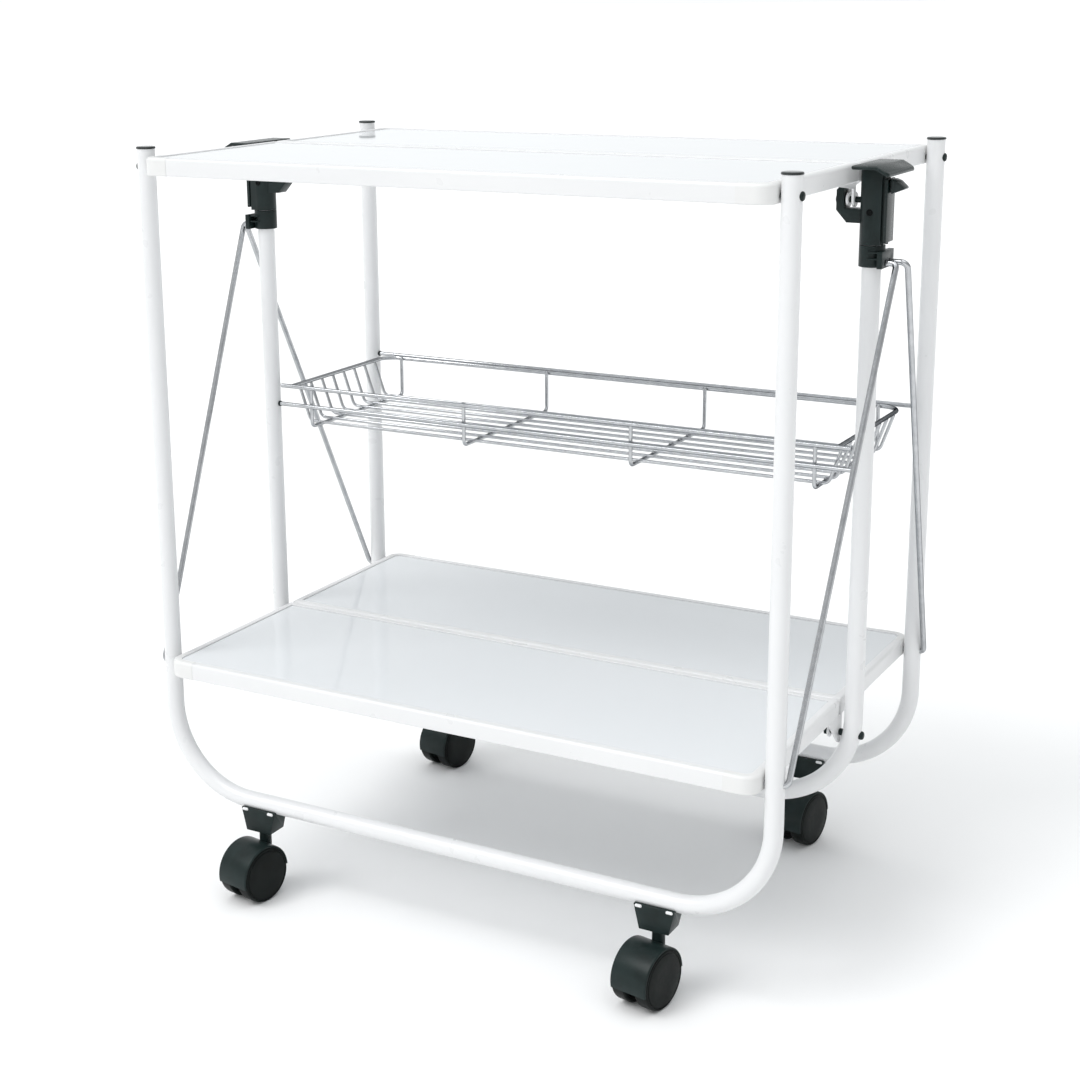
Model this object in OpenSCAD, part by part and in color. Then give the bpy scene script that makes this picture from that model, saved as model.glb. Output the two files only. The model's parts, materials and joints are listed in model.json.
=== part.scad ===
// Folding two-shelf trolley on four twin-wheel casters.
// X runs along the long side, Y across it (front is -Y), Z up from the floor.

/* [Frames] */
// Distance along X from the middle to the posts of the front and rear frames
post_x = 300; // [270:1:340]
// Distance along Y from the middle to the front and rear frames
post_y = 177; // [165:1:200]
// Height of the tops of the outer posts, without their caps
post_top = 687; // [660:1:760]
// Outer diameter of the frame tubes
tube_d = 16; // [15:0.5:17]
// Wall thickness of the frame tubes
tube_wall = 1.2; // [1:0.1:1.5]
// Bend radius of the tubes, at their axis
bend_r = 82; // [60:1:100]
// Height of the bottom tubes of the front and rear frames
outer_bottom_z = 88; // [86:1:92]
// Height of the bottom tube of the centre frame
centre_bottom_z = 121.5; // [115:0.5:130]
// How much further out the posts of the centre frame stand
centre_spread = 3.5; // [3:0.5:6]

/* [Shelves] */
// Height of the pivots of the top shelf in the outer posts
top_pivot_z = 671.5; // [645:0.5:740]
// Height of the pivots of the lower shelf in the outer posts
lower_pivot_z = 210; // [206:1:260]
// How much lower the centre pivots lie than the outer pivots
pivot_drop = 20.5; // [18:0.5:22]
// Height of the shelf rims
rim_h = 15.8; // [14:0.1:18]
// How far the rims hang below the outer pivots
rim_below = 6; // [5:0.5:7]
// Distance along X from the middle to the ends of the shelves
shelf_end_x = 291.3; // [260:0.1:291.5]
// How far the shelves stand out past the axes of the outer posts
overhang = 19.5; // [12:0.5:25]
// Thickness of the shelf panels
panel_t = 3.8; // [3:0.1:4]

/* [Basket] */
// Height of the rear pivots of the basket
basket_rear_z = 445; // [400:1:520]
// Distance along X from the middle to the ends of the basket rim
basket_rim_x = 280; // [240:1:284]
// Number of long wires in the bottom of the basket
bottom_wires = 8; // [6:1:11]
// Diameter of the rim wires
rim_wire_d = 4; // [3:0.5:5]
// Diameter of the bottom wires
bottom_wire_d = 3; // [2.5:0.5:4]

/* [Stays and sliders] */
// Diameter of the stay rods
rod_d = 5; // [4:0.5:5]
// Height of the upper ends of the stay rods
rod_top_z = 601.5; // [590:0.5:605]
// Distance along Y from the middle to the upper ends of the stay rods
rod_top_y = 5; // [4:0.5:6]

/* [Casters] */
// Distance along X from the middle to the caster stems
caster_x = 201.5; // [170:0.5:210]
// Radius of the caster wheels
wheel_r = 26; // [25:0.5:26.5]
// Distance from the stem axis back to the wheel axle
caster_trail = 17; // [15:0.5:18]
// Angle by which the casters are turned about their stems
caster_turn = -10; // [-180:5:180]

/* [Hidden] */
$fn = 48;

// The origin is on the floor at the middle of the whole. The casters trail to the
// front, so the middle of the shelves stands this far behind it.
middle_y = 14.5;

tube_r = tube_d / 2;
centre_x = post_x + centre_spread;
top_centre_z = top_pivot_z - pivot_drop;
lower_centre_z = lower_pivot_z - pivot_drop;
basket_front_z = basket_rear_z - pivot_drop;
fit = 0.05;              // radial running clearance of pins in their holes
pin_r = 2.5;             // pivot pins and screws
screw_head_r = 3.7;      // domed heads of the pivot screws
screw_head_h = 1.6;
pivot_hole_r = pin_r + fit;

// Shelf section
joint_gap = 0.3;         // each half shelf stops this far from the middle
front_corner_r = 14;
joint_corner_r = 3;
wall_t = 1.5;
lip_w = 8;               // lip seen from above, round the panel
lip_t = 1.5;
web_t = 1.5;
ledge_w = 14;            // ledge under the panel, measured from the rim
panel_drop = 1;          // panel lies this far below the top of the lip
panel_gap = 0.2;
flange_w = 6;
flange_t = 1.2;
bracket_t = 2;
bracket_eye_r = 6;
bracket_neck = 9;        // straight neck above the eye, before the gusset widens
gusset_w = 46;
front_bracket_x = 286.5;
rear_bracket_x = 281.5;

// Handles
sleeve_r = 10.7;
box_half_y = 10;
box_end = 9.5;           // box side of the housing, measured from the post axis
core_half_y = 6.5;       // narrower core of the box, behind the latch
core_end = 11.2;
housing_bottom_z = 615.6;
grip_bottom_z = 678.1;
grip_t = 3.2;
grip_half_y = 35;
grip_inner = 8.6;        // grip starts this far inboard of the post axis
grip_flat = 12.3;        // its flat ends and its slope begins this far outboard
grip_lip = 22.4;
grip_drop = 5.7;         // outer edge below the flat
grip_corner = 4;
centre_post_top = 674;
channel_x = centre_x + 8.8;
ear_half_y = 6.5;
ear_wall_in = 274;
ear_wall_out = 280.5;
ear_bottom_z = 632.7;
ear_floor_z = 644;
ear_top_z = 661;
housing_screw_z = 642;

// Latch, which slides up in the housing
latch_gap = 0.3;
latch_t = 2.6;
latch_half_y = 9.7;
latch_bottom_z = 618;
latch_top_z = 669.3;
neck_length = 1.8;       // neck between the latch and its finger tab
neck_half_y = 4;
tab_half_y = 6.8;
tab_bottom_z = 657.1;
tongue_half_y = 4;
tongue_depth = 2.2;
tongue_bottom_z = 624;
tongue_top_z = 646;
channel_top_z = 668;
channel_gap = 0.4;       // between the tongue and the sides of its channel
spring_r = 0.85;
spring_wire_r = 0.25;
spring_turns = 9;

// Slider
slider_bottom_z = 597.6;
slider_top_z = 615;
lug_out = 13.4;          // outer face of the lug plate, measured from the post axis
lug_t = 4.3;
lug_half_y = 15;
lug_top_z = 611.3;
lug_rib_t = 1.2;
lug_rib_z = [604.3, 609.6];
rod_tip_gap = 0.4;
rod_low_x = post_x + tube_r + rod_d / 2 + 0.5;
front_rod_out = 22.5;    // upper ends of the front rods, from the centre post axis
rear_rod_out = 28.5;     // upper ends of the rear rods, from the centre post axis
rod_inner_x = 287;

// Basket
basket_depth_z = 38;     // long wires below the rear pivots
rim_drop = 2;            // rim below the rear pivots
long_first_y = 14;
long_last_y = 150;
basket_bottom_x = 268;
basket_back_y = post_y - 4;
basket_corner = 18;
cross_x = 86.5;
cross_wire_d = 3.5;
front_wire_x = 292.5;
pivot_wire_r = 2;
weld = 0.3;              // welded wires sink this far into each other
bush_r = 3.6;

// Casters
socket_top_z = outer_bottom_z - 4;
socket_bottom_z = 62;
socket_half_x = 18.6;
socket_low_x = 13.5;
socket_half_y = 10.5;
lug_x = 14;              // white lugs at the top edge of each socket
lug_half_x = 1.9;
lug_r = 1.3;
lug_proud = 1.2;
stem_r = 4;
stem_top_z = 76;
boss_r = 5.6;
boss_top_z = 59.8;
stem_in_boss = 8;
axle_r = 3;
wheel_in = 4.6;
wheel_out = 18.3;
wheel_side_gap = 0.6;
hood_gap = 0.6;
hood_t = 1.2;
hood_back_drop = 12;     // the hood ends this far below the axle where it trails
hood_front_rise = 2;     // and this far above it on the other side
hub_r = 8;

// ---------------------------------------------------------------- helpers

// A cylinder along X between two places on the same Y and Z.
module x_pin(x0, x1, y, z, r) {
    translate([x0, y, z]) rotate([0, 90, 0]) cylinder(h = x1 - x0, r = r);
}

// A round bar from point a to point b.
module bar(a, b, r) {
    d = b - a;
    length = norm(d);
    translate(a)
        rotate([0, acos(d[2] / length), atan2(d[1], d[0])])
            cylinder(h = length, r = r);
}

// Bars along a list of points, with a ball in each bend that is wider by swell.
module wire(points, r, swell = 0) {
    for (i = [0 : len(points) - 2]) bar(points[i], points[i + 1], r);
    for (i = [1 : len(points) - 2]) translate(points[i]) sphere(r = r + swell);
}

// The same piece at both ends, or at one end: side is -1 for left and 1 for right.
module at_end(side) {
    mirror([side < 0 ? 1 : 0, 0, 0]) children();
}

module both_ends() {
    for (side = [-1, 1]) at_end(side) children();
}

// The front piece, or its mirror image at the rear.
module at_side(side) {
    mirror([0, side > 0 ? 1 : 0, 0]) children();
}

// ---------------------------------------------------------------- frames

// Solid U of a given radius: two posts, two bends and a bottom run.
module u_solid(half_x, bottom_z, top_z, r) {
    both_ends() {
        translate([half_x, 0, bottom_z + bend_r]) cylinder(h = top_z - bottom_z - bend_r, r = r);
        translate([half_x - bend_r, 0, bottom_z + bend_r])
            rotate([-90, 0, 0])
                rotate_extrude(angle = 90) translate([bend_r, 0]) circle(r = r);
    }
    x_pin(bend_r - half_x, half_x - bend_r, 0, bottom_z, r);
}

module u_tube(half_x, bottom_z, top_z) {
    difference() {
        u_solid(half_x, bottom_z, top_z, tube_r);
        u_solid(half_x, bottom_z, top_z + 1, tube_r - tube_wall);
    }
}

module outer_frame(side) {
    color("white")
        translate([0, side * post_y, 0])
            difference() {
                u_tube(post_x, outer_bottom_z, post_top);
                both_ends() {
                    for (z = [top_pivot_z, lower_pivot_z, basket_rear_z])
                        x_pin(post_x - tube_d, post_x + tube_d, 0, z, pivot_hole_r);
                }
            }
}

module post_caps(side) {
    plug_r = tube_r - tube_wall - 0.1;
    color([0.1, 0.12, 0.12])
        both_ends()
            translate([post_x, side * post_y, post_top]) {
                cylinder(h = 1.4, r = tube_r + 0.6);
                translate([0, 0, 1.4]) cylinder(h = 0.7, r1 = tube_r + 0.6, r2 = tube_r - 1);
                translate([0, 0, -10]) cylinder(h = 10, r = plug_r);
            }
}

// Domed screws through the outer posts, on which the top shelf turns.
module pivot_screws(side) {
    head_x = post_x + tube_r - 1;
    color([0.1, 0.12, 0.12])
        both_ends() {
            x_pin(rod_inner_x, head_x + 0.5, side * post_y, top_pivot_z, pin_r);
            x_pin(head_x, head_x + screw_head_h, side * post_y, top_pivot_z, screw_head_r);
        }
}

module centre_frame_tube() {
    color("white")
        difference() {
            u_tube(centre_x, centre_bottom_z, centre_post_top);
            both_ends() {
                x_pin(centre_x - tube_d, centre_x + tube_d, 0, lower_centre_z, pivot_hole_r);
                x_pin(centre_x - tube_d, centre_x, 0, basket_front_z, pivot_hole_r);
                translate([centre_x, 0, housing_screw_z])
                    rotate([90, 0, 0]) cylinder(h = tube_d, r = 1.6);
            }
        }
}

// Lower bolts with their spacers and nuts, upper pins, and the screws that hold the housings.
module centre_pivot_screws() {
    head_x = centre_x + tube_r - 1;
    nut_x = rear_bracket_x - 3.5;
    spacer_in = front_bracket_x + bracket_t + 0.3;
    color([0.1, 0.12, 0.12])
        both_ends() {
            x_pin(nut_x, head_x + 0.5, 0, lower_centre_z, pin_r);
            x_pin(head_x - 0.5, head_x + screw_head_h, 0, lower_centre_z, screw_head_r);
            x_pin(nut_x, nut_x + 3, 0, lower_centre_z, 4.5);
            x_pin(spacer_in, centre_x - tube_r - 0.2, 0, lower_centre_z, 4.5);

            x_pin(ear_wall_in - 1.5, centre_x - sleeve_r + 1.5, 0, top_centre_z, pin_r);
            x_pin(ear_wall_in - 1.5, ear_wall_in, 0, top_centre_z, 4);

            translate([centre_x, -sleeve_r - 0.8, housing_screw_z])
                rotate([-90, 0, 0]) {
                    cylinder(h = 1.2, r = 2.8);
                    cylinder(h = 5, r = 1.5);
                }
        }
}

// ---------------------------------------------------------------- handles

module housing(side) {
    color([0.1, 0.13, 0.13])
        at_end(side)
            difference() {
                union() {
                    translate([centre_x, 0, housing_bottom_z])
                        cylinder(h = grip_bottom_z - housing_bottom_z, r = sleeve_r);
                    translate([centre_x, -box_half_y, housing_bottom_z])
                        cube([box_end, 2 * box_half_y, grip_bottom_z - housing_bottom_z]);
                    translate([centre_x, -core_half_y, housing_bottom_z])
                        cube([core_end, 2 * core_half_y, grip_bottom_z - housing_bottom_z]);
                    ear();
                }
                translate([centre_x, 0, housing_bottom_z - 1])
                    cylinder(h = centre_post_top - housing_bottom_z + 1.2, r = tube_r + 0.02);
                translate([channel_x, -tongue_half_y - channel_gap, housing_bottom_z - 1])
                    cube([tongue_depth + 1, 2 * (tongue_half_y + channel_gap),
                        channel_top_z - housing_bottom_z + 1]);
                x_pin(ear_wall_in - 1, centre_x - sleeve_r + 1.5, 0, top_centre_z, pin_r + 0.02);
                translate([centre_x, -sleeve_r - 1, housing_screw_z])
                    rotate([-90, 0, 0]) cylinder(h = 5, r = 1.52);
                translate([centre_x, -sleeve_r - 1, housing_screw_z])
                    rotate([-90, 0, 0]) cylinder(h = 1.42, r = 2.85);
            }
}

// Open hook on the inner side, which carries the pin of the top shelf brackets.
module ear() {
    root_x = centre_x - tube_r - 0.6;
    translate([0, ear_half_y, 0])
        rotate([90, 0, 0])
            linear_extrude(2 * ear_half_y)
                polygon([
                    [root_x, ear_bottom_z],
                    [ear_wall_in + 9, ear_bottom_z],
                    [ear_wall_in, ear_bottom_z + 10],
                    [ear_wall_in, ear_top_z - 2],
                    [ear_wall_in + 2, ear_top_z],
                    [ear_wall_out, ear_top_z],
                    [ear_wall_out, ear_floor_z + 1],
                    [ear_wall_out + 1, ear_floor_z],
                    [root_x, ear_floor_z]
                ]);
}

// Flat top with an outer side that slopes down.
module grip(side) {
    inner_x = centre_x - grip_inner;
    flat_x = centre_x + grip_flat;
    lip_x = centre_x + grip_lip;
    top_z = grip_bottom_z + grip_t;
    color([0.16, 0.2, 0.2])
        at_end(side)
            intersection() {
                translate([0, grip_half_y, 0])
                    rotate([90, 0, 0])
                        linear_extrude(2 * grip_half_y)
                            polygon([
                                [inner_x, grip_bottom_z],
                                [inner_x, top_z],
                                [flat_x, top_z],
                                [lip_x, top_z - grip_drop],
                                [lip_x, grip_bottom_z - grip_drop],
                                [flat_x - 1, grip_bottom_z]
                            ]);
                translate([0, 0, grip_bottom_z - 20])
                    linear_extrude(40)
                        rounded_rectangle(inner_x, lip_x, -grip_half_y, grip_half_y, 2, grip_corner);
            }
}

// Rectangle with corner radius r0 on the x0 side and r1 on the x1 side.
module rounded_rectangle(x0, x1, y0, y1, r0, r1) {
    translate([x0 + r0, y0]) square([x1 - x0 - r0 - r1, y1 - y0]);
    translate([x0, y0 + r0]) square([r0, y1 - y0 - 2 * r0]);
    translate([x1 - r1, y0 + r1]) square([r1, y1 - y0 - 2 * r1]);
    for (y = [y0 + r0, y1 - r0]) translate([x0 + r0, y]) circle(r = r0);
    for (y = [y0 + r1, y1 - r1]) translate([x1 - r1, y]) circle(r = r1);
}

// Plate on the outer side of the housing, with a finger tab on a neck and a tongue that
// runs in the housing.
module latch(side) {
    in_x = centre_x + core_end + latch_gap;
    out_x = in_x + latch_t;
    tab_x = out_x + neck_length;
    color([0.12, 0.15, 0.15])
        at_end(side) {
            translate([in_x, -latch_half_y, latch_bottom_z])
                cube([latch_t, 2 * latch_half_y, latch_top_z - latch_bottom_z]);
            translate([out_x - 0.5, -neck_half_y, tab_bottom_z + 1])
                cube([neck_length + 1, 2 * neck_half_y, latch_top_z - tab_bottom_z - 2]);
            translate([0, tab_half_y, 0])
                rotate([90, 0, 0])
                    linear_extrude(2 * tab_half_y)
                        polygon([
                            [tab_x, tab_bottom_z],
                            [tab_x + 10.5, tab_bottom_z + 4.1],
                            [tab_x + 10.5, tab_bottom_z + 5.3],
                            [tab_x + 5, latch_top_z - 1.8],
                            [tab_x, latch_top_z]
                        ]);
            translate([in_x - tongue_depth, -tongue_half_y, tongue_bottom_z])
                cube([tongue_depth + 1, 2 * tongue_half_y, tongue_top_z - tongue_bottom_z]);
        }
}

// Compression spring between the latch tongue and the top of its channel.
module latch_spring(side) {
    sides = 6;
    steps = 12 * spring_turns;
    z0 = tongue_top_z + spring_wire_r + 0.1;
    z1 = channel_top_z - spring_wire_r - 0.1;
    ring = [for (i = [0 : steps]) for (k = [0 : sides - 1])
        let (turn = 360 * i / 12, a = 360 * k / sides, reach = spring_r + spring_wire_r * cos(a))
            [reach * cos(turn), reach * sin(turn), z0 + (z1 - z0) * i / steps + spring_wire_r * sin(a)]];
    skin = [for (i = [0 : steps - 1]) for (k = [0 : sides - 1])
        [i * sides + k, i * sides + (k + 1) % sides, (i + 1) * sides + (k + 1) % sides, (i + 1) * sides + k]];
    start = [for (k = [sides - 1 : -1 : 0]) k];
    end = [for (k = [0 : sides - 1]) steps * sides + k];
    color([0.75, 0.76, 0.78])
        at_end(side)
            translate([channel_x + spring_r + spring_wire_r + 0.2, 0, 0])
                polyhedron(points = ring, faces = concat([start], skin, [end]));
}

// Sleeve on the centre post, with a plate held by two ribs that carries the stay rods.
module slider(side) {
    height = slider_top_z - slider_bottom_z;
    plate_x = centre_x + lug_out - lug_t;
    color([0.1, 0.13, 0.13])
        at_end(side)
            difference() {
                union() {
                    translate([centre_x, 0, slider_bottom_z]) cylinder(h = height, r = sleeve_r);
                    translate([plate_x, -lug_half_y, slider_bottom_z])
                        cube([lug_t, 2 * lug_half_y, lug_top_z - slider_bottom_z]);
                    for (z = lug_rib_z)
                        translate([centre_x, -lug_half_y + 1.5, z])
                            cube([lug_out - 1, 2 * lug_half_y - 3, lug_rib_t]);
                }
                translate([centre_x, 0, slider_bottom_z - 1]) cylinder(h = height + 2, r = tube_r + fit);
                for (y = [-rod_top_y, rod_top_y])
                    x_pin(plate_x + 1, centre_x + lug_out + 1, y, rod_top_z, rod_d / 2 + 0.2);
            }
}

// Rod with both ends bent inwards along X. The lower end turns in the outer post.
module stay_rod(side_x, side_y) {
    top_x = centre_x + (side_y < 0 ? front_rod_out : rear_rod_out);
    low_y = side_y * post_y;
    high_y = side_y * rod_top_y;
    color([0.8, 0.82, 0.84])
        at_end(side_x)
            wire([
                [centre_x + lug_out + rod_tip_gap, high_y, rod_top_z],
                [top_x, high_y, rod_top_z],
                [rod_low_x, low_y, lower_pivot_z],
                [rod_inner_x, low_y, lower_pivot_z]
            ], rod_d / 2, 0.05);
}

// ---------------------------------------------------------------- shelves

// Plan outline of a front half shelf, drawn in by inset on every side.
module half_outline(inset) {
    x = shelf_end_x - inset;
    y0 = -post_y - overhang + inset;
    y1 = -joint_gap - inset;
    r0 = max(front_corner_r - inset, 1.5);
    r1 = max(joint_corner_r - inset, 1);
    translate([-x + r0, y0]) square([2 * (x - r0), y1 - y0]);
    translate([-x, y0 + r0]) square([2 * x, y1 - y0 - r0 - r1]);
    for (side = [-1, 1]) {
        translate([side * (x - r0), y0 + r0]) circle(r = r0);
        translate([side * (x - r1), y1 - r1]) circle(r = r1);
        translate([side > 0 ? x - r0 : r0 - x - (r0 - r1), y1 - r0]) square([r0 - r1, r0]);
    }
}

// A ring of the outline between two insets, from height z0 to z1.
module outline_ring(outer, inner, z0, z1) {
    translate([0, 0, z0])
        linear_extrude(z1 - z0)
            difference() {
                half_outline(outer);
                half_outline(inner);
            }
}

module shelf_rim(pivot_z, side) {
    z = pivot_z - rim_below;
    panel_z = rim_h - panel_drop - panel_t;
    color([0.96, 0.96, 0.97])
        at_side(side)
            difference() {
                translate([0, 0, z]) {
                    outline_ring(0, wall_t, 0, rim_h);
                    outline_ring(0, lip_w, rim_h - lip_t, rim_h);
                    outline_ring(lip_w - web_t, lip_w, panel_z - lip_t, rim_h);
                    outline_ring(lip_w - web_t, ledge_w, panel_z - lip_t, panel_z);
                    outline_ring(0, flange_w, 0, flange_t);
                }
                both_ends()
                    x_pin(shelf_end_x - 2 * wall_t, shelf_end_x + 1, -post_y, pivot_z, pivot_hole_r);
            }
}

module shelf_panel(pivot_z, side) {
    z = pivot_z - rim_below + rim_h - panel_drop - panel_t;
    color([0.89, 0.91, 0.93])
        at_side(side)
            translate([0, 0, z]) linear_extrude(panel_t) half_outline(lip_w + panel_gap);
}

// Gusset plates that hang from the ends of the half shelf down to the centre pivot.
module shelf_brackets(pivot_z, side) {
    x = side < 0 ? front_bracket_x : rear_bracket_x;
    flange_z = pivot_drop - rim_below;
    plate_top = side < 0 ? flange_z : flange_z + rim_h - panel_drop - panel_t - lip_t;
    color([0.96, 0.96, 0.97])
        at_side(side)
            both_ends()
                translate([x, 0, pivot_z - pivot_drop])
                    rotate([90, 0, 90])
                        linear_extrude(bracket_t)
                            difference() {
                                union() {
                                    circle(r = bracket_eye_r);
                                    translate([-bracket_eye_r, 0])
                                        square([bracket_eye_r - lip_w / 2 + 3, flange_z]);
                                    polygon([
                                        [-bracket_eye_r, bracket_neck],
                                        [-gusset_w, flange_z],
                                        [-gusset_w, plate_top],
                                        [-lip_w, plate_top],
                                        [-lip_w, flange_z],
                                        [-joint_gap - 1, flange_z],
                                        [-joint_gap - 1, bracket_neck]
                                    ]);
                                }
                                circle(r = pivot_hole_r);
                            }
}

// ---------------------------------------------------------------- basket

long_z = basket_rear_z - basket_depth_z;
cross_z = long_z - (bottom_wire_d + cross_wire_d) / 2 + weld;
rim_z = basket_rear_z - rim_drop;
long_pitch = (long_last_y - long_first_y) / (bottom_wires - 1);

module basket_rim() {
    r = rim_wire_d / 2;
    back_x = basket_rim_x - basket_corner;
    color([0.8, 0.82, 0.84]) {
        x_pin(-back_x, back_x, basket_back_y, rim_z, r);
        both_ends() {
            translate([back_x, basket_back_y - basket_corner, rim_z])
                rotate_extrude(angle = 90) translate([basket_corner, 0]) circle(r = r);
            bar([basket_rim_x, basket_back_y - basket_corner, rim_z], [basket_rim_x, 0, rim_z], r);
        }
        x_pin(-front_wire_x, front_wire_x, 0, rim_z, r);
        x_pin(-centre_x + tube_r - 3, centre_x - tube_r + 3, 0, basket_front_z, pivot_wire_r);
        x_pin(-post_x + tube_r - 3, post_x - tube_r + 3, post_y, basket_rear_z, pivot_wire_r);
    }
}

// Long wires whose ends turn up to the end wires of the rim.
module basket_bottom_wires() {
    r = bottom_wire_d / 2;
    color([0.8, 0.82, 0.84])
        for (i = [0 : bottom_wires - 1]) {
            y = long_first_y + i * long_pitch;
            wire([
                [-basket_rim_x, y, rim_z - rim_wire_d / 2],
                [-basket_bottom_x, y, long_z],
                [basket_bottom_x, y, long_z],
                [basket_rim_x, y, rim_z - rim_wire_d / 2]
            ], r);
        }
}

// Wires under the long ones, which turn up at the front and at the rear.
module basket_cross_wires() {
    r = cross_wire_d / 2;
    front_y = rim_wire_d / 2 + r - weld;
    back_y = basket_back_y - rim_wire_d / 2 - r + weld;
    bend = 3;
    color([0.8, 0.82, 0.84])
        for (k = [-3, -1, 1, 3])
            wire([
                [k * cross_x, front_y, rim_z],
                [k * cross_x, front_y, cross_z + bend],
                [k * cross_x, front_y + bend, cross_z],
                [k * cross_x, back_y - bend, cross_z],
                [k * cross_x, back_y, cross_z + bend],
                [k * cross_x, back_y, basket_rear_z]
            ], r);
}

// Plastic sleeves on the ends of the two pivot wires, in the holes of the posts.
module basket_end_bushes() {
    color([0.1, 0.12, 0.12])
        both_ends()
            for (place = [[centre_x - tube_r, 0, basket_front_z], [post_x - tube_r, post_y, basket_rear_z]])
                difference() {
                    union() {
                        x_pin(place[0] - 2.5, place[0] + 3, place[1], place[2], pin_r);
                        x_pin(place[0] - 2.5, place[0] - 0.4, place[1], place[2], bush_r);
                    }
                    x_pin(place[0] - 3, place[0] + 4, place[1], place[2], pivot_wire_r);
                }
}

// ---------------------------------------------------------------- casters

// Moves a piece drawn about the stem axis to one of the four stems.
module at_caster(side_x, side_y) {
    translate([side_x * caster_x, side_y * post_y, 0]) children();
}

module turned(side_x, side_y) {
    at_caster(side_x, side_y) rotate([0, 0, caster_turn]) children();
}

module caster_socket(side_x, side_y) {
    color([0.08, 0.1, 0.1])
        at_caster(side_x, side_y)
            difference() {
                translate([0, socket_half_y, 0])
                    rotate([90, 0, 0])
                        linear_extrude(2 * socket_half_y)
                            polygon([
                                [-socket_half_x, socket_top_z],
                                [-socket_low_x, socket_bottom_z],
                                [socket_low_x, socket_bottom_z],
                                [socket_half_x, socket_top_z]
                            ]);
                x_pin(-socket_half_x - 1, socket_half_x + 1, 0, outer_bottom_z, tube_r + 0.02);
                translate([0, 0, socket_bottom_z - 1])
                    cylinder(h = stem_top_z - socket_bottom_z + 1.3, r = stem_r + fit);
            }
}

// Two small lugs of the tube over the top edge of each socket.
module socket_lugs(side_y) {
    color("white")
        for (side_x = [-1, 1])
            for (x = [-lug_x, lug_x])
                translate([side_x * caster_x + x, side_y * post_y - socket_half_y, socket_top_z - lug_r])
                    rotate([90, 0, 0])
                        linear_extrude(lug_proud) {
                            translate([-lug_half_x, -lug_r]) square([2 * lug_half_x, 2 * lug_r]);
                            for (end = [-lug_half_x, lug_half_x]) translate([end, 0]) circle(r = lug_r);
                        }
}

module caster_stem(side_x, side_y) {
    color([0.7, 0.72, 0.74])
        turned(side_x, side_y)
            translate([0, 0, boss_top_z - stem_in_boss])
                cylinder(h = stem_top_z - boss_top_z + stem_in_boss, r = stem_r);
}

// Cover over both wheels, with the wall between them and the boss round the stem.
module caster_hood(side_x, side_y) {
    shell_r = wheel_r + hood_gap + hood_t;
    half = wheel_out - wheel_side_gap;
    reach = 2 * shell_r;
    color([0.08, 0.1, 0.1])
        turned(side_x, side_y)
            difference() {
                union() {
                    difference() {
                        x_pin(-half, half, -caster_trail, wheel_r, shell_r);
                        translate([-reach, -caster_trail - reach, wheel_r - hood_back_drop - reach])
                            cube([2 * reach, 2 * reach, reach]);
                        translate([-reach, -caster_trail, wheel_r + hood_front_rise - reach])
                            cube([2 * reach, reach, reach]);
                    }
                    x_pin(-wheel_in, wheel_in, -caster_trail, wheel_r, hub_r);
                    translate([0, 0, wheel_r + hub_r]) cylinder(h = boss_top_z - wheel_r - hub_r, r = boss_r);
                }
                x_pin(-half, half, -caster_trail, wheel_r, axle_r + 0.02);
                translate([0, 0, boss_top_z - stem_in_boss - 0.2])
                    cylinder(h = stem_in_boss + 1, r = stem_r + 0.02);
                both_ends()
                    x_pin(wheel_in, half + 1, -caster_trail, wheel_r, wheel_r + hood_gap);
            }
}

module caster_axle(side_x, side_y) {
    color([0.7, 0.72, 0.74])
        turned(side_x, side_y)
            x_pin(-wheel_out + 3, wheel_out - 3, -caster_trail, wheel_r, axle_r);
}

// The two wheels, each with a tread, a recessed face and a bore for the axle.
module caster_wheels(side_x, side_y) {
    inner_x = wheel_in + wheel_side_gap;
    width = wheel_out - inner_x;
    cap_t = 2.6;         // closed outer face over the end of the axle
    groove_r = wheel_r - 3;
    color([0.06, 0.07, 0.07])
        turned(side_x, side_y)
            translate([0, -caster_trail, wheel_r])
                for (side = [-1, 1])
                    at_end(side)
                        translate([inner_x, 0, 0])
                            rotate([90, 0, 90])
                                rotate_extrude()
                                    polygon([
                                        [axle_r + fit, 0],
                                        [axle_r + fit, width - cap_t],
                                        [0, width - cap_t],
                                        [0, width],
                                        [groove_r, width],
                                        [groove_r, width - 0.8],
                                        [groove_r + 0.8, width - 0.8],
                                        [groove_r + 0.8, width],
                                        [wheel_r - 1, width - 0.4],
                                        [wheel_r, width - 1.8],
                                        [wheel_r, 1.5],
                                        [wheel_r - 1, 0]
                                    ]);
}

// ---------------------------------------------------------------- assembly

// Moves a piece from the middle of the shelves to the origin of the whole.
module placed() {
    translate([0, middle_y, 0]) children();
}

placed() outer_frame(-1);  // front_frame_tube
placed() post_caps(-1);  // front_post_caps
placed() pivot_screws(-1);  // front_pivot_screws
placed() socket_lugs(-1);  // front_socket_lugs
placed() outer_frame(1);  // rear_frame_tube
placed() post_caps(1);  // rear_post_caps
placed() pivot_screws(1);  // rear_pivot_screws
placed() socket_lugs(1);  // rear_socket_lugs
placed() caster_socket(-1, -1);  // caster_socket_front_left
placed() caster_socket(1, -1);  // caster_socket_front_right
placed() caster_socket(-1, 1);  // caster_socket_rear_left
placed() caster_socket(1, 1);  // caster_socket_rear_right
placed() centre_frame_tube();
placed() centre_pivot_screws();
placed() housing(-1);  // left_handle_housing
placed() housing(1);  // right_handle_housing
placed() grip(-1);  // left_grip
placed() grip(1);  // right_grip
placed() latch(-1);  // left_latch
placed() latch(1);  // right_latch
placed() latch_spring(-1);  // left_latch_spring
placed() latch_spring(1);  // right_latch_spring
placed() slider(-1);  // left_slider
placed() slider(1);  // right_slider
placed() stay_rod(-1, -1);  // stay_rod_front_left
placed() stay_rod(1, -1);  // stay_rod_front_right
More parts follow.
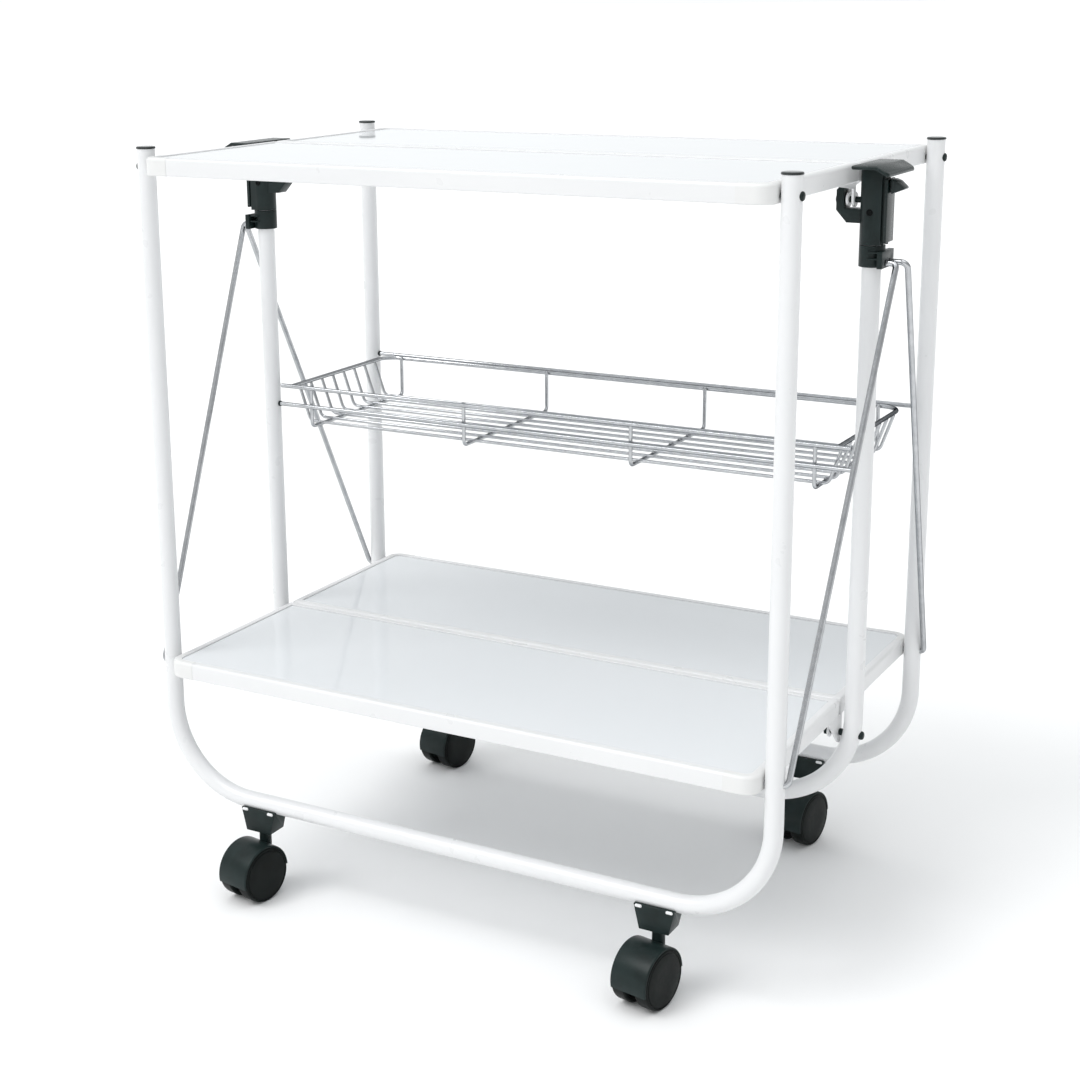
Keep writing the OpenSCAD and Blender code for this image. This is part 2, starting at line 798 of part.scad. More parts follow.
placed() stay_rod(-1, 1);  // stay_rod_rear_left
placed() stay_rod(1, 1);  // stay_rod_rear_right
placed() shelf_rim(top_pivot_z, -1);  // top_front_rim
placed() shelf_panel(top_pivot_z, -1);  // top_front_panel
placed() shelf_brackets(top_pivot_z, -1);  // top_front_brackets
placed() shelf_rim(top_pivot_z, 1);  // top_rear_rim
placed() shelf_panel(top_pivot_z, 1);  // top_rear_panel
placed() shelf_brackets(top_pivot_z, 1);  // top_rear_brackets
placed() shelf_rim(lower_pivot_z, -1);  // lower_front_rim
placed() shelf_panel(lower_pivot_z, -1);  // lower_front_panel
placed() shelf_brackets(lower_pivot_z, -1);  // lower_front_brackets
placed() shelf_rim(lower_pivot_z, 1);  // lower_rear_rim
placed() shelf_panel(lower_pivot_z, 1);  // lower_rear_panel
placed() shelf_brackets(lower_pivot_z, 1);  // lower_rear_brackets
placed() basket_rim();
placed() basket_bottom_wires();
placed() basket_cross_wires();
placed() basket_end_bushes();
placed() caster_hood(-1, -1);  // caster_hood_front_left
placed() caster_stem(-1, -1);  // caster_stem_front_left
placed() caster_axle(-1, -1);  // caster_axle_front_left
placed() caster_wheels(-1, -1);  // caster_wheels_front_left
placed() caster_hood(1, -1);  // caster_hood_front_right
placed() caster_stem(1, -1);  // caster_stem_front_right
placed() caster_axle(1, -1);  // caster_axle_front_right
placed() caster_wheels(1, -1);  // caster_wheels_front_right
placed() caster_hood(-1, 1);  // caster_hood_rear_left
placed() caster_stem(-1, 1);  // caster_stem_rear_left
placed() caster_axle(-1, 1);  // caster_axle_rear_left
placed() caster_wheels(-1, 1);  // caster_wheels_rear_left
placed() caster_hood(1, 1);  // caster_hood_rear_right
placed() caster_stem(1, 1);  // caster_stem_rear_right
placed() caster_axle(1, 1);  // caster_axle_rear_right
placed() caster_wheels(1, 1);  // caster_wheels_rear_right
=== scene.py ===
import json
import math

import bmesh
import bpy
from mathutils import Matrix, Vector


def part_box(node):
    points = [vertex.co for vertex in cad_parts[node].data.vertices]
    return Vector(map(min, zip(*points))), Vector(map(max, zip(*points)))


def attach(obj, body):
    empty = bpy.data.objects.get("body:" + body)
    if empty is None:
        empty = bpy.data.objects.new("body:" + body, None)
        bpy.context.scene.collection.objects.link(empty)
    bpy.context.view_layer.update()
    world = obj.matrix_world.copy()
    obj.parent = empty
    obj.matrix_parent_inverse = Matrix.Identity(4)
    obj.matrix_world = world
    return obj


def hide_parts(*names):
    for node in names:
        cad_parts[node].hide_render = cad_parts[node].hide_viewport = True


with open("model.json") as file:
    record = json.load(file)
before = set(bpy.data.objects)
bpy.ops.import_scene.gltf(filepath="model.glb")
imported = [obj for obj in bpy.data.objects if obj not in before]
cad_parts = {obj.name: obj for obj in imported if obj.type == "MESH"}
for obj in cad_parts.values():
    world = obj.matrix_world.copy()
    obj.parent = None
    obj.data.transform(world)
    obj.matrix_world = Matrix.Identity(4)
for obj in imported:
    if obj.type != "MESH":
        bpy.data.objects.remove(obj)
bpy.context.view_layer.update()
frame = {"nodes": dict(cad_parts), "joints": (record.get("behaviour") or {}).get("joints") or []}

MM = 0.001
ROWS = {"front": -1, "rear": 1}
SIDES = {"left": -1, "right": 1}
X_AXIS, Y_AXIS, Z_AXIS = Vector((1, 0, 0)), Vector((0, 1, 0)), Vector((0, 0, 1))

# ------------------------------------------------------------------ places, read from the frame

joint_at = {j["name"]: Vector(j["pos_m"]) for j in frame["joints"] if "pos_m" in j}
joint_axis = {j["name"]: Vector(j["axis"]) for j in frame["joints"]}
tube_lo, tube_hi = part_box("front_frame_tube")
TUBE_R = (tube_hi.y - tube_lo.y) / 2
POST_X = tube_hi.x - TUBE_R
CENTRE_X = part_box("centre_frame_tube")[1].x - TUBE_R
BEND_R = 82 * MM
ROD_R = 2.5 * MM
PIVOT_PIN_R = 2.5 * MM


# ------------------------------------------------------------------ mesh tools

class Shape:
    """Vertices and faces of one piece, gathered from closed skins."""

    def __init__(self):
        self.verts, self.faces = [], []

    def rings(self, rings, loop=False):
        """A skin through rings of equal length. It closes on itself, or gets a cap at each end."""
        base, size, count = len(self.verts), len(rings[0]), len(rings)
        for ring in rings:
            self.verts.extend(Vector(p) for p in ring)
        for i in range(count if loop else count - 1):
            a, b = base + i * size, base + (i + 1) % count * size
            for k in range(size):
                j = (k + 1) % size
                self.faces.append((a + k, a + j, b + j, b + k))
        if not loop:
            self.faces.append(tuple(range(base, base + size)))
            self.faces.append(tuple(range(base + (count - 1) * size, base + count * size)))
        return self

    def lathe(self, profile, origin, axis, segments=48):
        """A skin turned about an axis. The profile holds (along the axis, radius)."""
        axis = Vector(axis).normalized()
        side = axis.orthogonal().normalized()
        up = axis.cross(side)
        turns = [2 * math.pi * k / segments for k in range(segments)]
        outs = [side * math.cos(t) + up * math.sin(t) for t in turns]
        return self.rings([[Vector(origin) + axis * along + out * radius for out in outs]
                           for along, radius in profile])

    def sweep(self, points, radius, sides=16):
        """A round bar along points, carried without twist."""
        points = [Vector(p) for p in points]
        last = len(points) - 1
        ways = [(points[min(i + 1, last)] - points[max(i - 1, 0)]).normalized()
                for i in range(last + 1)]
        normal = ways[0].orthogonal().normalized()
        rings = []
        for point, way in zip(points, ways):
            normal = (normal - way * normal.dot(way)).normalized()
            across = way.cross(normal)
            rings.append([point + (normal * math.cos(t) + across * math.sin(t)) * radius
                          for t in (2 * math.pi * k / sides for k in range(sides))])
        return self.rings(rings)

    def ball(self, at, radius, flat=1.0, sides=10):
        """A small round bead, flattened along Z, with a tiny flat at each pole."""
        steps, pole = 6, 0.05
        profile = [(-radius * flat * math.cos(t), max(radius * math.sin(t), radius * pole))
                   for t in (math.pi * k / steps for k in range(steps + 1))]
        return self.lathe(profile, at, Z_AXIS, sides)

    def build(self, name, smooth=35):
        """The gathered skins as one object. Edges sharper than smooth degrees stay sharp."""
        mesh = bpy.data.meshes.new(name)
        mesh.from_pydata(self.verts, [], self.faces)
        tidy = bmesh.new()
        tidy.from_mesh(mesh)
        bmesh.ops.recalc_face_normals(tidy, faces=tidy.faces)
        tidy.to_mesh(mesh)
        tidy.free()
        return new_object(name, mesh, smooth)


def new_object(name, mesh, smooth):
    mesh.shade_smooth()
    mesh.set_sharp_from_angle(angle=math.radians(smooth))
    piece = bpy.data.objects.new(name, mesh)
    bpy.context.scene.collection.objects.link(piece)
    return piece


WELD_DISTANCE = 0.002 * MM
FLAT_ANGLE = math.radians(0.6)
EDGE_ANGLE = 40


def rounded_copy(node, name, width, segments=3):
    """A new piece with a CAD node's shape, its flat faces made whole and its edges rounded."""
    source = bmesh.new()
    source.from_mesh(frame["nodes"][node].data)
    bmesh.ops.remove_doubles(source, verts=source.verts, dist=WELD_DISTANCE)
    bmesh.ops.dissolve_limit(source, angle_limit=FLAT_ANGLE, verts=source.verts, edges=source.edges)
    verts = [v.co.copy() for v in source.verts]
    faces = [[v.index for v in f.verts] for f in source.faces]
    source.free()
    mesh = bpy.data.meshes.new(name)
    mesh.from_pydata(verts, [], faces)
    piece = new_object(name, mesh, EDGE_ANGLE)
    bevel = piece.modifiers.new("edges", "BEVEL")
    bevel.width = width
    bevel.segments = segments
    bevel.limit_method = "ANGLE"
    bevel.angle_limit = math.radians(EDGE_ANGLE)
    bevel.use_clamp_overlap = True
    apply_modifiers(piece)
    piece.data.shade_smooth()
    piece.data.set_sharp_from_angle(angle=math.radians(EDGE_ANGLE))
    return piece


def apply_modifiers(piece):
    """Makes the modifiers' result the piece's own mesh."""
    bpy.context.view_layer.update()
    graph = bpy.context.evaluated_depsgraph_get()
    made = bpy.data.meshes.new_from_object(piece.evaluated_get(graph))
    piece.modifiers.clear()
    piece.data = made


def arc(cx, cy, radius, start, end, steps):
    """Points on a circle, between two angles in degrees."""
    turns = (math.radians(start + (end - start) * k / steps) for k in range(steps + 1))
    return [(cx + radius * math.cos(t), cy + radius * math.sin(t)) for t in turns]


def rounded(points, radius, steps=8):
    """A path whose inner corners are turned into arcs, each using less than half of a short side."""
    points = [Vector(p) for p in points]
    share = 0.48
    path = [points[0]]
    for a, b, c in zip(points, points[1:], points[2:]):
        u, v = (b - a).normalized(), (c - b).normalized()
        turn = u.angle(v)
        cut = min(radius * math.tan(turn / 2), share * (b - a).length, share * (c - b).length)
        r = cut / math.tan(turn / 2)
        start = b - u * cut
        centre = start + (v - u * u.dot(v)).normalized() * r
        turn_axis = u.cross(v)
        path += [centre + Matrix.Rotation(turn * k / steps, 3, turn_axis) @ (start - centre)
                 for k in range(steps + 1)]
    return path + [points[-1]]


def finish_piece(piece, body, look, *nodes):
    """Gives a piece its material and its body, and hides the CAD nodes that it stands for."""
    piece.data.materials.clear()
    piece.data.materials.append(look)
    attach(piece, body)
    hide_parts(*nodes)


def add_piece(piece, body, look):
    """Adds a piece with its material to the body of the one that stands for a CAD node."""
    piece.data.materials.append(look)
    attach(piece, body)


# ------------------------------------------------------------------ materials

COAT_ROUGHNESS = 0.08
ROUGHNESS_SPREAD = 0.25
GRAIN_DEPTH = 0.1 * MM
BLEND_START, BLEND_END = 0.3, 0.7


def surface(name, light, dark, roughness, metallic=0.0, coat=0.0, patch=40, grain=1500, bump=0.02,
            specular=0.5):
    """A material with soft colour patches, uneven roughness and a fine surface grain.

    patch and grain are noise scales in cycles per metre, bump is the strength of the grain.
    """
    made = bpy.data.materials.new(name)
    made.use_nodes = True
    nodes, links = made.node_tree.nodes, made.node_tree.links
    shader = nodes["Principled BSDF"]
    place = nodes.new("ShaderNodeTexCoord")

    def noise(scale, detail=3.0):
        node = nodes.new("ShaderNodeTexNoise")
        node.inputs["Scale"].default_value = scale
        node.inputs["Detail"].default_value = detail
        links.new(place.outputs["Object"], node.inputs["Vector"])
        return node.outputs["Fac"]

    patches = noise(patch)
    colour = nodes.new("ShaderNodeValToRGB")
    for element, position, shade in zip(colour.color_ramp.elements, (BLEND_START, BLEND_END), (dark, light)):
        element.position = position
        element.color = (*shade, 1)
    links.new(patches, colour.inputs["Fac"])
    links.new(colour.outputs["Color"], shader.inputs["Base Color"])

    uneven = nodes.new("ShaderNodeMapRange")
    uneven.inputs["To Min"].default_value = roughness * (1 - ROUGHNESS_SPREAD)
    uneven.inputs["To Max"].default_value = roughness * (1 + ROUGHNESS_SPREAD)
    links.new(noise(patch * 4), uneven.inputs["Value"])
    links.new(uneven.outputs["Result"], shader.inputs["Roughness"])

    grained = nodes.new("ShaderNodeBump")
    grained.inputs["Strength"].default_value = bump
    grained.inputs["Distance"].default_value = GRAIN_DEPTH
    links.new(noise(grain, 2.0), grained.inputs["Height"])
    links.new(grained.outputs["Normal"], shader.inputs["Normal"])

    shader.inputs["Metallic"].default_value = metallic
    shader.inputs["Coat Weight"].default_value = coat
    shader.inputs["Coat Roughness"].default_value = COAT_ROUGHNESS
    shader.inputs["Specular IOR Level"].default_value = specular
    return made


POWDER_WHITE = surface(
    "powder_white", (0.765, 0.768, 0.773), (0.745, 0.749, 0.755), 0.3, coat=0.15, patch=12, grain=900,
    bump=0.012)
RIM_WHITE = surface(
    "rim_white", (0.755, 0.757, 0.76), (0.735, 0.738, 0.743), 0.3, coat=0.1, patch=10, grain=900, bump=0.01)
CORNER_WHITE = surface(
    "corner_white", (0.745, 0.745, 0.737), (0.72, 0.72, 0.714), 0.38, patch=60, grain=900, bump=0.04)
PANEL = surface(
    "panel_pale_blue", (0.75, 0.77, 0.788), (0.735, 0.757, 0.776), 0.06, patch=6, grain=400, bump=0.004,
    specular=0.6)
BLACK = surface(
    "black_plastic", (0.013, 0.023, 0.0225), (0.008, 0.014, 0.0135), 0.34, patch=60, grain=2600, bump=0.12,
    specular=0.2)
GRIP_BLACK = surface(
    "grip_plastic", (0.01, 0.02, 0.0195), (0.006, 0.012, 0.0115), 0.26, patch=50, grain=2200, bump=0.12,
    specular=0.3)
WHEEL_BLACK = surface(
    "wheel_plastic", (0.005, 0.008, 0.0075), (0.003, 0.004, 0.0035), 0.45, patch=70, grain=1800, bump=0.15,
    specular=0.12)
# Painted shade: the housing screw heads are black, and this near black, darker than the other black plastic,
# stands in for the shade of the recess they sit in.
SCREW_BLACK_AND_SHADE = surface(
    "screw_black_and_painted_shade", (0.003, 0.005, 0.005), (0.002, 0.003, 0.003), 0.5, patch=400, grain=2500, bump=0.1,
    specular=0.1)
CAP_BLACK = surface(
    "cap_plastic", (0.008, 0.014, 0.0135), (0.005, 0.008, 0.0075), 0.16, patch=60, grain=1500, bump=0.05,
    specular=0.7)
CHROME = surface(
    "bright_chrome", (0.55, 0.56, 0.575), (0.45, 0.46, 0.475), 0.17, metallic=1.0, patch=120, grain=900)
STEEL = surface(
    "plain_steel", (0.62, 0.64, 0.66), (0.5, 0.52, 0.54), 0.32, metallic=1.0, patch=200, bump=0.08)
METAL_EDGE_TINT = (0.02, 0.025, 0.03, 1)
for metal in (CHROME, STEEL):
    metal.node_tree.nodes["Principled BSDF"].inputs["Specular Tint"].default_value = METAL_EDGE_TINT


# ------------------------------------------------------------------ frames

TUBE_WALL = 1.4 * MM
HEAD_SINK = 0.2 * MM
# Profiles to turn about an axis, as (along the axis, radius) in mm.
DOME = [(-3, 3.7), (0.4, 3.7), (1.1, 3.45), (1.6, 2.9), (1.95, 2.0), (2.1, 1.0), (2.12, 0.3)]
NUT = [(0, 3.9), (0.4, 4.5), (2.6, 4.5), (3, 3.9)]
SCREW_HEAD = [(-1.2, 2.7), (0.3, 2.7), (0.5, 2.4), (0.55, 1.7), (0.05, 1.5), (0.05, 0.3)]


def in_metres(profile):
    return [(along * MM, radius * MM) for along, radius in profile]


def frame_tube(name, node, body):
    lo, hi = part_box(node)
    r = (hi.y - lo.y) / 2
    half_x, y, bottom, top = hi.x - r, (lo.y + hi.y) / 2, lo.z + r, hi.z
    path = rounded([(-half_x, y, top), (-half_x, y, bottom), (half_x, y, bottom), (half_x, y, top)],
                   BEND_R, 28)
    finish_piece(Shape().sweep(path, r, 48).build(name), body, POWDER_WHITE, node)


def post_caps(row):
    """A cap on each post: a plug in the tube, and a head with a rounded top."""
    node = f"{row}_post_caps"
    lo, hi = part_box(node)
    y, top = (lo.y + hi.y) / 2, hi.z
    plug, head = (TUBE_R - TUBE_WALL) / MM, (hi.y - lo.y) / 2 / MM
    profile = [(-12, plug), (-2.15, plug), (-2.1, head - 0.3), (-1.8, head), (-1.0, head),
               (-0.4, head - 0.25), (-0.1, head - 0.9), (0, head - 1.8), (0, 1)]
    shape = Shape()
    for side in SIDES.values():
        shape.lathe(in_metres(profile), (side * POST_X, y, top), Z_AXIS, 48)
    finish_piece(shape.build(f"{row}_caps"), f"{row}_frame", CAP_BLACK, node)


def dome(shape, at, outward):
    shape.lathe(in_metres(DOME), at, outward, 32)


def pin(shape, start, end, r, segments=24):
    """A round bar between two points, with its end edges broken."""
    length = (Vector(end) - Vector(start)).length
    edge = min(0.3 * MM, r / 4)
    profile = [(0, r - edge), (edge, r), (length - edge, r), (length, r - edge)]
    shape.lathe(profile, start, Vector(end) - Vector(start), segments)


def pivot_screws(row):
    """The screws that hold a half of the top shelf between the posts of a frame."""
    node = f"{row}_pivot_screws"
    lo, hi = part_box(node)
    at = Vector((0, (lo.y + hi.y) / 2, (lo.z + hi.z) / 2))
    tip, foot = POST_X - 13 * MM, POST_X + TUBE_R - 2 * MM
    shape = Shape()
    for side in SIDES.values():
        x = X_AXIS * side
        dome(shape, at + x * (POST_X + TUBE_R - HEAD_SINK), x)
        pin(shape, at + x * tip, at + x * foot, PIVOT_PIN_R)
    finish_piece(shape.build(f"{row}_screws"), f"{row}_frame", BLACK, node)


def centre_screws():
    """Lower pivot bolts with spacers and nuts, upper pins, and the screws of the handle housings."""
    node = "centre_pivot_screws"
    low, high = joint_at["lower_rear_shelf_pivot"], joint_at["centre_frame_pivot"]
    housing_lo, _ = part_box("right_handle_housing")
    bolt_tip, bolt_foot = CENTRE_X - 25.5 * MM, CENTRE_X + 6 * MM
    spacer_in, spacer_out = CENTRE_X - 12.2 * MM, CENTRE_X - TUBE_R - 0.2 * MM
    upper_tip, upper_head, upper_foot = (CENTRE_X - inward * MM for inward in (31, 29.5, 9.2))
    spacer_r, upper_head_r = 3.1 * MM, 4 * MM
    screw_z = housing_lo.z + 26.4 * MM
    shape, heads = Shape(), Shape()
    for side in SIDES.values():
        x = X_AXIS * side
        dome(shape, low + x * (CENTRE_X + TUBE_R - HEAD_SINK), x)
        pin(shape, low + x * bolt_tip, low + x * bolt_foot, PIVOT_PIN_R)
        shape.lathe(in_metres(NUT), low + x * bolt_tip, x, 6)
        pin(shape, low + x * spacer_in, low + x * spacer_out, spacer_r)
        pin(shape, high + x * upper_tip, high + x * upper_foot, PIVOT_PIN_R)
        pin(shape, high + x * upper_tip, high + x * upper_head, upper_head_r)
        heads.lathe(in_metres(SCREW_HEAD), (side * CENTRE_X, housing_lo.y, screw_z), -Y_AXIS, 36)
    finish_piece(shape.build("centre_screws"), "centre_frame", BLACK, node)
    # The housing screw heads are black screws, coloured darker as painted shade for the recess round them.
    add_piece(heads.build("housing_screws"), "centre_frame", SCREW_BLACK_AND_SHADE)


for row in ROWS:
    frame_tube(f"{row}_tube", f"{row}_frame_tube", f"{row}_frame")
    post_caps(row)
    pivot_screws(row)
frame_tube("centre_tube", "centre_frame_tube", "centre_frame")
centre_screws()


# ------------------------------------------------------------------ shelves

LIP, PANEL_GAP = 8 * MM, 0.25 * MM
OUTER_CORNER = 14 * MM
LEAST_CORNER = 0.6 * MM
CORNER_REACH = 25 * MM
# The half-axes of the rounded corners where two half shelves meet.
JOINT_CORNERS = {"front": (3 * MM, 3 * MM), "rear": (12 * MM, 3.6 * MM)}


def corner_turn(sx, sy, centre, rx, ry, steps=10):
    """A quarter ellipse round an outline corner, in the order that walks the outline one way."""
    start = 0 if sx * sy > 0 else 90
    turns = [math.radians(start + 90 * k / steps) for k in range(steps + 1)]
    return [(centre[0] + sx * rx * abs(math.cos(t)), centre[1] + sy * ry * abs(math.sin(t))) for t in turns]


def half_outline(lo, hi, row, inset):
    """Plan outline of a half shelf, drawn in by inset, with the same number of points at any inset."""
    s = ROWS[row]
    points = []
    for sx, sy in ((1, 1), (-1, 1), (-1, -1), (1, -1)):
        rx, ry = (OUTER_CORNER, OUTER_CORNER) if sy == s else JOINT_CORNERS[row]
        rx, ry = max(rx - inset, LEAST_CORNER), max(ry - inset, LEAST_CORNER)
        edge = hi.y - inset if sy > 0 else lo.y + inset
        points += corner_turn(sx, sy, (sx * (hi.x - inset - rx), edge - sy * ry), rx, ry)
    return points


def ring_at(lo, hi, row, inset, z):
    return [Vector((x, y, z)) for x, y in half_outline(lo, hi, row, inset)]


def rim_profile(height):
    """Closed section of a rim, as (inset, height) in mm: rounded top edge, lip, ledge, wall, flange."""
    top = height / MM - 0.2
    outer = arc(3.2, top - 2.9, 2.9, 180, 90, 8)
    lip = arc(7.4, top - 0.6, 0.6, 90, 0, 3)
    ledge = [(8, top - 4.6), (14, top - 4.6), (14, top - 6.1), (6.5, top - 6.1)]
    wall = [(6.5, top - 1.5), (1.8, top - 1.5), (1.8, 1.4)]
    flange = [(6, 1.4), (6, 0.2), (0.9, 0.2)]
    return [(0.3, 0.9)] + outer + lip + ledge + wall + flange


def cover_profile(height):
    """Closed section of a corner cover, as (inset, height) in mm."""
    top = height / MM
    outside = [(0.9, 0), (0, 0.9)] + arc(3.1, top - 3.1, 3.1, 180, 90, 8) + [(6.6, top)]
    inside = [(6.6, top - 0.7), (3.2, top - 0.7), (0.8, top - 3.4), (0.8, 1.2), (5, 1.2), (5, 0)]
    return outside + inside


def corner_cover(lo, hi, row, side):
    """A moulded cover round the outer corner of a rim, a little proud of it, longer along X."""
    section = cover_profile(hi.z - lo.z)
    sx, sy = SIDES[side], ROWS[row]
    end_x, end_y = hi.x, (hi.y if sy > 0 else -lo.y)
    reach_x, reach_y = end_x - CORNER_REACH - 3 * MM, end_y - CORNER_REACH

    def walk(inset):
        r = max(OUTER_CORNER - inset, LEAST_CORNER)
        turn = arc(end_x - OUTER_CORNER, end_y - OUTER_CORNER, r, 0, 90, 12)
        path = [(end_x - inset, reach_y)] + turn + [(reach_x, end_y - inset)]
        return [(sx * x, sy * y) for x, y in path]

    walks = [(walk(inset * MM), lo.z + z * MM) for inset, z in section]
    stations = len(walks[0][0])
    return [[Vector((*path[k], z)) for path, z in walks] for k in range(stations)]


def end_gussets(name):
    """Gussets of the lower front half: flush with its rim's ends, drawn out to an eye at the pivot."""
    pivot = joint_at["lower_rear_shelf_pivot"]
    rim_lo, rim_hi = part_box("lower_front_rim")
    top = (rim_lo.z - pivot.z) / MM + 1
    eye = arc(1.5, -6, 4.5, 0, -135, 10)
    outline = [(6, top)] + eye + [(-19, 8), (-22, 10.4), (-25, 12.2), (-29, top)]
    layers = ((2.4, 0.98), (2.2, 1), (0.4, 1), (0.2, 0.98))
    shape = Shape()
    for side in SIDES.values():
        rings = []
        for inward, scale in layers:
            x = side * (rim_hi.x - inward * MM)
            rings.append([Vector((x, pivot.y + y * scale * MM, pivot.z + z * scale * MM))
                          for y, z in outline])
        shape.rings(rings)
    return shape.build(name)


def half_shelf(level, row):
    body = f"{level}_{row}_shelf"
    node = f"{level}_{row}_rim"
    lo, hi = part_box(node)
    rings = [ring_at(lo, hi, row, inset * MM, lo.z + z * MM) for inset, z in rim_profile(hi.z - lo.z)]
    finish_piece(Shape().rings(rings, loop=True).build(f"{level}_{row}_edge"), body, RIM_WHITE, node)
    covers = Shape()
    for side in SIDES:
        covers.rings(corner_cover(lo, hi, row, side))
    add_piece(covers.build(f"{level}_{row}_corners"), body, CORNER_WHITE)

    node = f"{level}_{row}_panel"
    panel_lo, panel_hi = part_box(node)
    inset = LIP + PANEL_GAP
    thick = (panel_hi.z - panel_lo.z) / MM
    # The first and the last ring lie on the flat faces, and keep them flat in the shading.
    section = [(2, 0), (0.5, 0), (0, 0.5), (0, thick - 0.7), (0.2, thick - 0.2), (0.7, thick), (2, thick)]
    rings = [ring_at(lo, hi, row, inset + i * MM, panel_lo.z + z * MM) for i, z in section]
    finish_piece(Shape().rings(rings).build(f"{level}_{row}_top"), body, PANEL, node)

    node = f"{level}_{row}_brackets"
    name = f"{level}_{row}_gussets"
    if name == "lower_front_gussets":
        piece = end_gussets(name)
    else:
        piece = rounded_copy(node, name, 0.35 * MM, 2)
    finish_piece(piece, body, POWDER_WHITE, node)


for level in ("top", "lower"):
    for row in ROWS:
        half_shelf(level, row)


# ------------------------------------------------------------------ handles, latches, sliders, rods

def handle(side):
    """Housing, grip, latch and slider of one end, each with edges rounded by a width in millimetres."""
    for node, name, width, body, look in (
            (f"{side}_handle_housing", f"{side}_housing", 0.7, "centre_frame", BLACK),
            (f"{side}_grip", f"{side}_handgrip", 1.3, "centre_frame", GRIP_BLACK),
            (f"{side}_latch", f"{side}_latch_bar", 0.8, f"{side}_latch", GRIP_BLACK),
            (f"{side}_slider", f"{side}_sleeve", 0.8, f"{side}_slider", BLACK)):
        finish_piece(rounded_copy(node, name, width * MM), body, look, node)
    spring = frame["nodes"][f"{side}_latch_spring"]
    spring.data.materials.clear()
    spring.data.materials.append(STEEL)


ROD_BEND_R = 5.5 * MM


def stay_rod(row, side):
    """A rod from the foot of an outer post up to its slider, both ends bent inwards."""
    node = f"stay_rod_{row}_{side}"
    lo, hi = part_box(node)
    low = joint_at[f"{node}_pivot"]
    slider_lo, slider_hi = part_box(f"{side}_slider")
    s = SIDES[side]
    off_post, off_slider = 3 * MM, 0.4 * MM
    inner_x, far_x = (lo.x, hi.x - ROD_R) if s > 0 else (hi.x, lo.x + ROD_R)
    low_x = s * (POST_X + TUBE_R + off_post)
    tip_x = slider_hi.x + off_slider if s > 0 else slider_lo.x - off_slider
    high_y = hi.y - ROD_R if row == "front" else lo.y + ROD_R
    high = Vector((far_x, high_y, hi.z - ROD_R))
    path = rounded([(inner_x, low.y, low.z), (low_x, low.y, low.z), high, (tip_x, high.y, high.z)],
                   ROD_BEND_R, 10)
    finish_piece(Shape().sweep(path, ROD_R, 24).build(f"rod_{row}_{side}"), node, CHROME, node)


for side in SIDES:
    handle(side)
    for row in ROWS:
        stay_rod(row, side)


# ------------------------------------------------------------------ basket

RIM_WIRE_R, LONG_WIRE_R, CROSS_WIRE_R = 2 * MM, 1.5 * MM, 1.75 * MM
LONG_WIRES = 8
CROSS_WIRES = (-3, -1, 1, 3)
SLEEVE = [(-1.7, 2.35), (-1.6, 2.6), (-0.5, 2.7), (-0.4, 2.5), (2.8, 2.45)]


